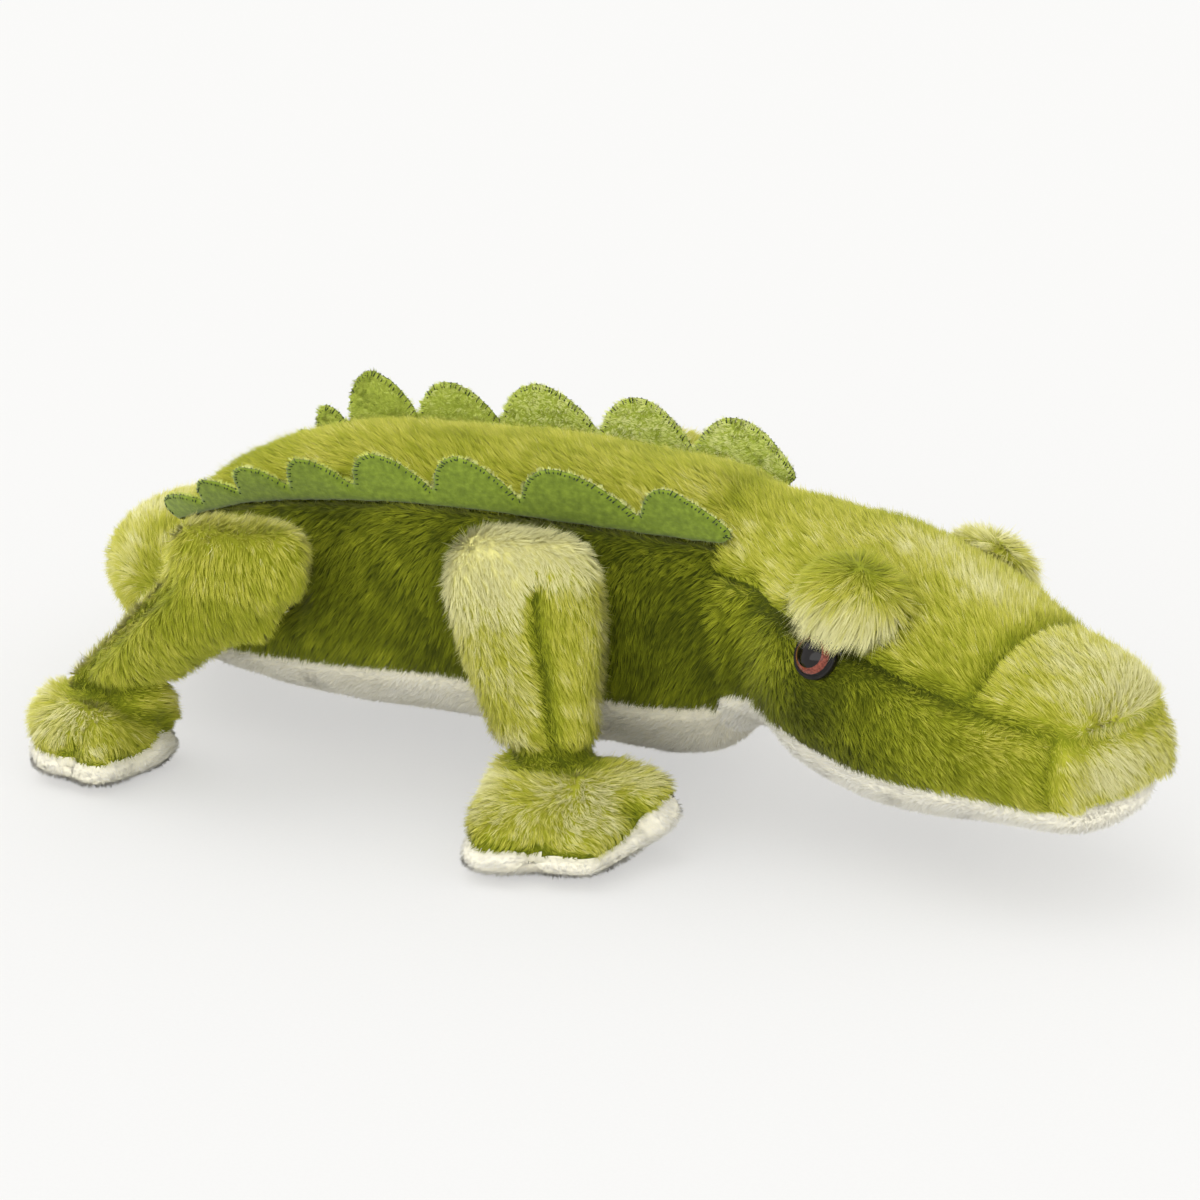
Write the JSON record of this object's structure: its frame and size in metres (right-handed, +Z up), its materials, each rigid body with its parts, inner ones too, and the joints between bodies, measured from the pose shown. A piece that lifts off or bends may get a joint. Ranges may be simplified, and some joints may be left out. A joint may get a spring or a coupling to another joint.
{
  "type": "plush crocodile",
  "caption": "Stuffed crocodile toy standing on short legs, with green fur over filling, a pale belly and soles, rows of felt scutes and glossy eyes.",
  "frame": {"origin": "middle of the bounding box on the floor", "axes": "+X along the body towards the nose, +Y towards the toy's left, +Z up"},
  "size_m": [0.3848, 0.3293, 0.1156],
  "materials": {
    "green_fur": "dense short pile",
    "white_plush": "short clipped pile",
    "filling": "loose polyester fibre",
    "scute_suede": "smooth suede outside, fleece inside",
    "eye": "polished",
    "washer": "as moulded"
  },
  "bodies": {
    "torso": {"back_panel": "green_fur", "belly_panel": "white_plush", "left_scute_strip": "scute_suede", "left_side_panel": "green_fur", "right_scute_strip": "scute_suede", "right_side_panel": "green_fur", "torso_filling": "filling"},
    "head": {"crown_panel": "green_fur", "head_filling": "filling", "jaw_panel": "white_plush", "left_brow_pad": "green_fur", "left_cheek_panel": "green_fur", "left_eye": "eye", "left_eye_washer": "washer", "nose_panel": "green_fur", "right_brow_pad": "green_fur", "right_cheek_panel": "green_fur", "right_eye": "eye", "right_eye_washer": "washer", "snout_panel": "green_fur"},
    "front_left_leg": {"front_left_leg_filling": "filling", "front_left_leg_foot_top": "green_fur", "front_left_leg_front_panel": "green_fur", "front_left_leg_rear_panel": "green_fur", "front_left_leg_sole": "white_plush"},
    "front_right_leg": {"front_right_leg_filling": "filling", "front_right_leg_foot_top": "green_fur", "front_right_leg_front_panel": "green_fur", "front_right_leg_rear_panel": "green_fur", "front_right_leg_sole": "white_plush"},
    "rear_left_leg": {"rear_left_leg_filling": "filling", "rear_left_leg_foot_top": "green_fur", "rear_left_leg_front_panel": "green_fur", "rear_left_leg_rear_panel": "green_fur", "rear_left_leg_sole": "white_plush"},
    "rear_right_leg": {"rear_right_leg_filling": "filling", "rear_right_leg_foot_top": "green_fur", "rear_right_leg_front_panel": "green_fur", "rear_right_leg_rear_panel": "green_fur", "rear_right_leg_sole": "white_plush"},
    "tail": {"tail_filling": "filling", "tail_top_panel": "green_fur", "tail_under_panel": "white_plush"}
  },
  "joints": [
    {"name": "neck_turn", "type": "hinge", "parent": "torso", "child": "head", "pos_m": [0.0656, -0.0619, 0.0635], "axis": [0, 0, 1], "range_deg": [-10, 40], "stiffness_Nm_per_rad": 0.4},
    {"name": "tail_swing", "type": "hinge", "parent": "torso", "child": "tail", "pos_m": [-0.1484, -0.0254, 0.0435], "axis": [0, 0, 1], "range_deg": [-8, 20], "stiffness_Nm_per_rad": 0.2},
    {"name": "front_right_leg_swing", "type": "hinge", "parent": "torso", "child": "front_right_leg", "pos_m": [-0.0104, -0.1029, 0.072], "axis": [0, 1, 0], "range_deg": [-15, 20], "stiffness_Nm_per_rad": 2},
    {"name": "front_left_leg_swing", "type": "hinge", "parent": "torso", "child": "front_left_leg", "pos_m": [-0.0044, 0.0111, 0.064], "axis": [0, 1, 0], "range_deg": [-15, 20], "stiffness_Nm_per_rad": 2},
    {"name": "rear_right_leg_swing", "type": "hinge", "parent": "torso", "child": "rear_right_leg", "pos_m": [-0.1044, -0.1004, 0.066], "axis": [0, 1, 0], "range_deg": [-10, 15], "stiffness_Nm_per_rad": 2},
    {"name": "rear_left_leg_swing", "type": "hinge", "parent": "torso", "child": "rear_left_leg", "pos_m": [-0.0874, 0.0141, 0.058], "axis": [0, 1, 0], "range_deg": [-15, 15], "stiffness_Nm_per_rad": 2}
  ]
}
